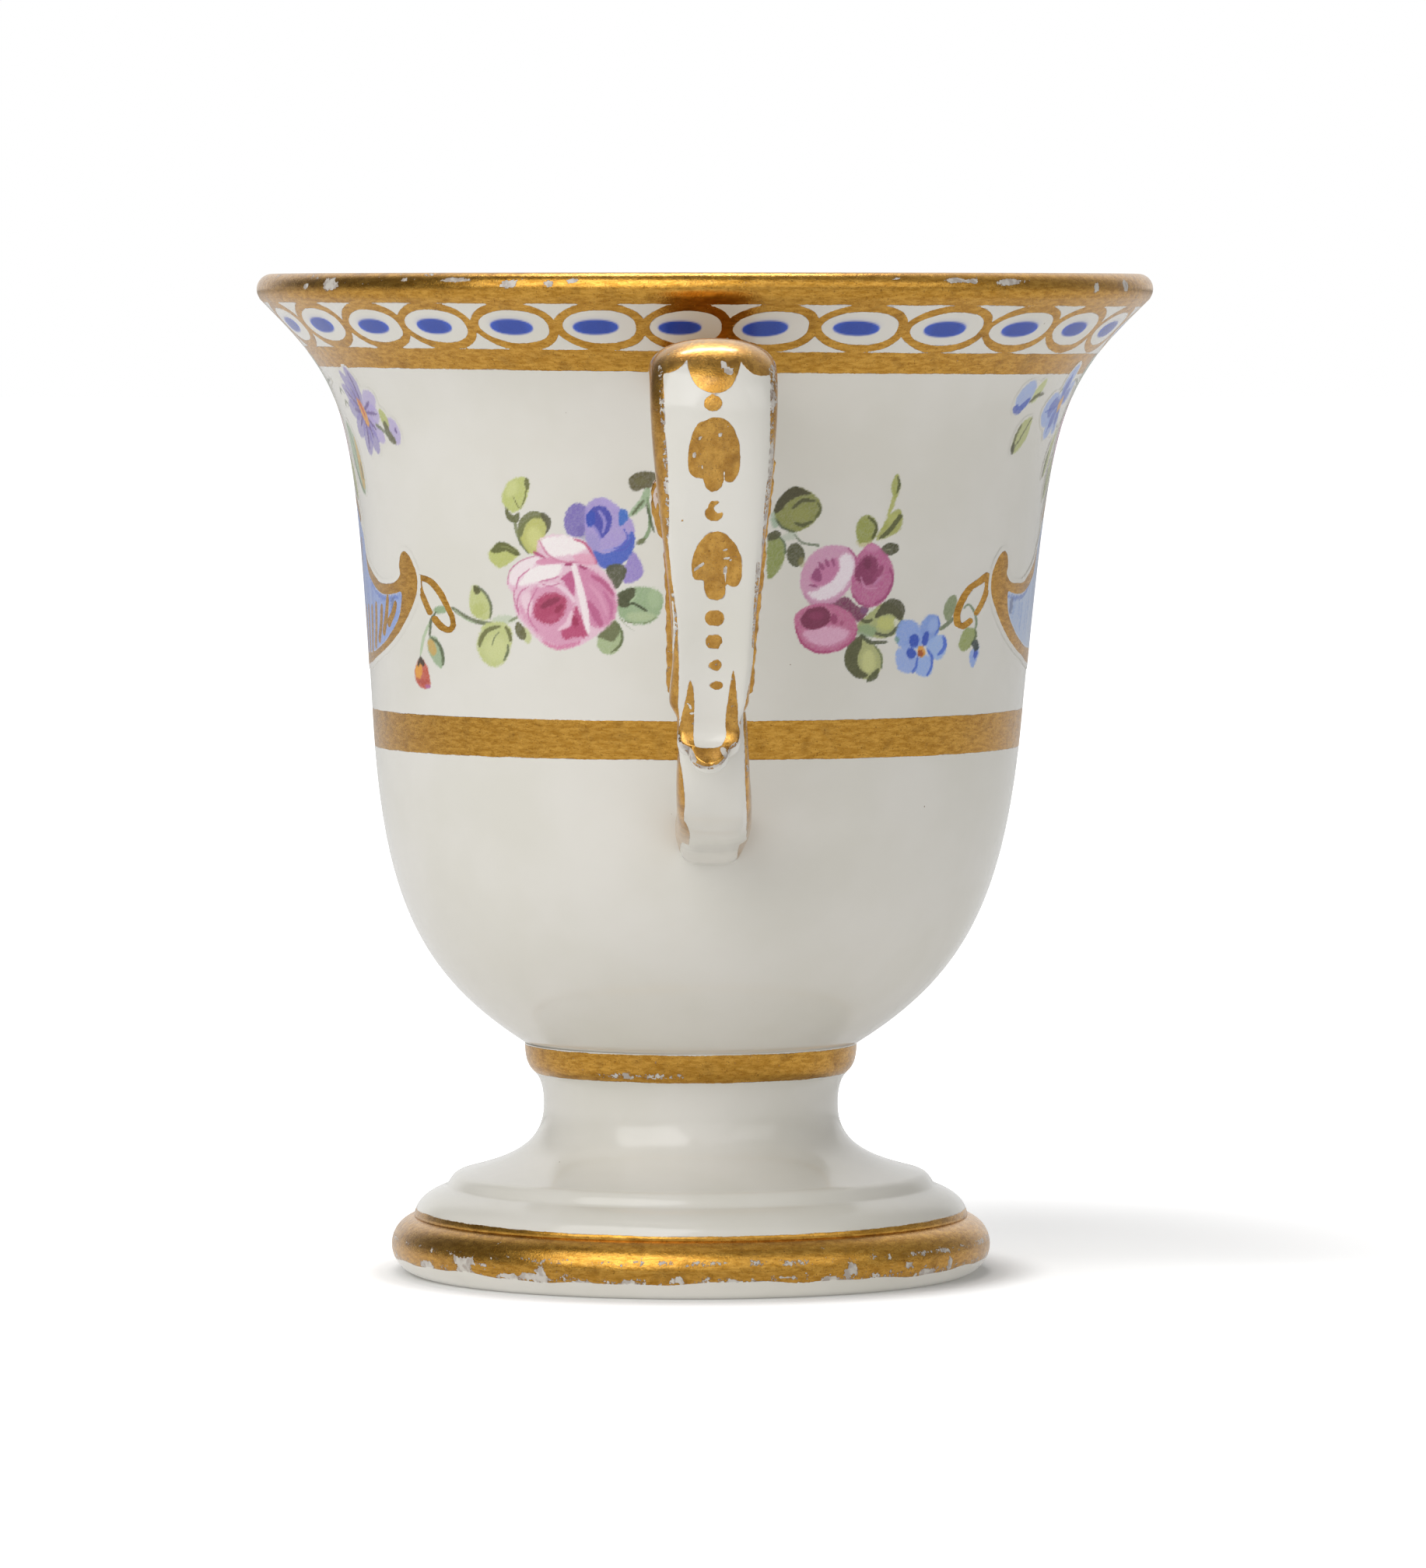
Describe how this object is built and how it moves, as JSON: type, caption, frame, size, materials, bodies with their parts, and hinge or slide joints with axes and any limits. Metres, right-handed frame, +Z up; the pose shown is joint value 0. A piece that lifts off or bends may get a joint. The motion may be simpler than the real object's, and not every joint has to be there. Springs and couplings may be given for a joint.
{
  "type": "footed ice cup",
  "caption": "Small footed porcelain ice cup with a flaring bell bowl, a hollow turned foot and a leaf scroll handle, for serving ices.",
  "frame": {"origin": "middle of the footprint of rim and handle together, at the level that the cup stands on", "axes": "+Z up along the cup's axis, +Y away from the handle, +X to the right when the handle faces the viewer"},
  "size_m": [0.059, 0.0738, 0.066],
  "materials": {
    "bowl_glaze": "clear glaze over warm white porcelain, painted with enamels",
    "foot_glaze": "clear glaze over warm white porcelain, bare standing ring",
    "handle_glaze": "clear glaze over warm white porcelain",
    "gilding": "burnished fired gilding, worn at the edges",
    "enamels": "overglaze enamel colours"
  },
  "bodies": {
    "root": {"bowl": "bowl_glaze", "foot": "foot_glaze", "handle_strap": "handle_glaze", "handle_underleaf": "gilding", "handle_branch": "handle_glaze"}
  },
  "joints": []
}
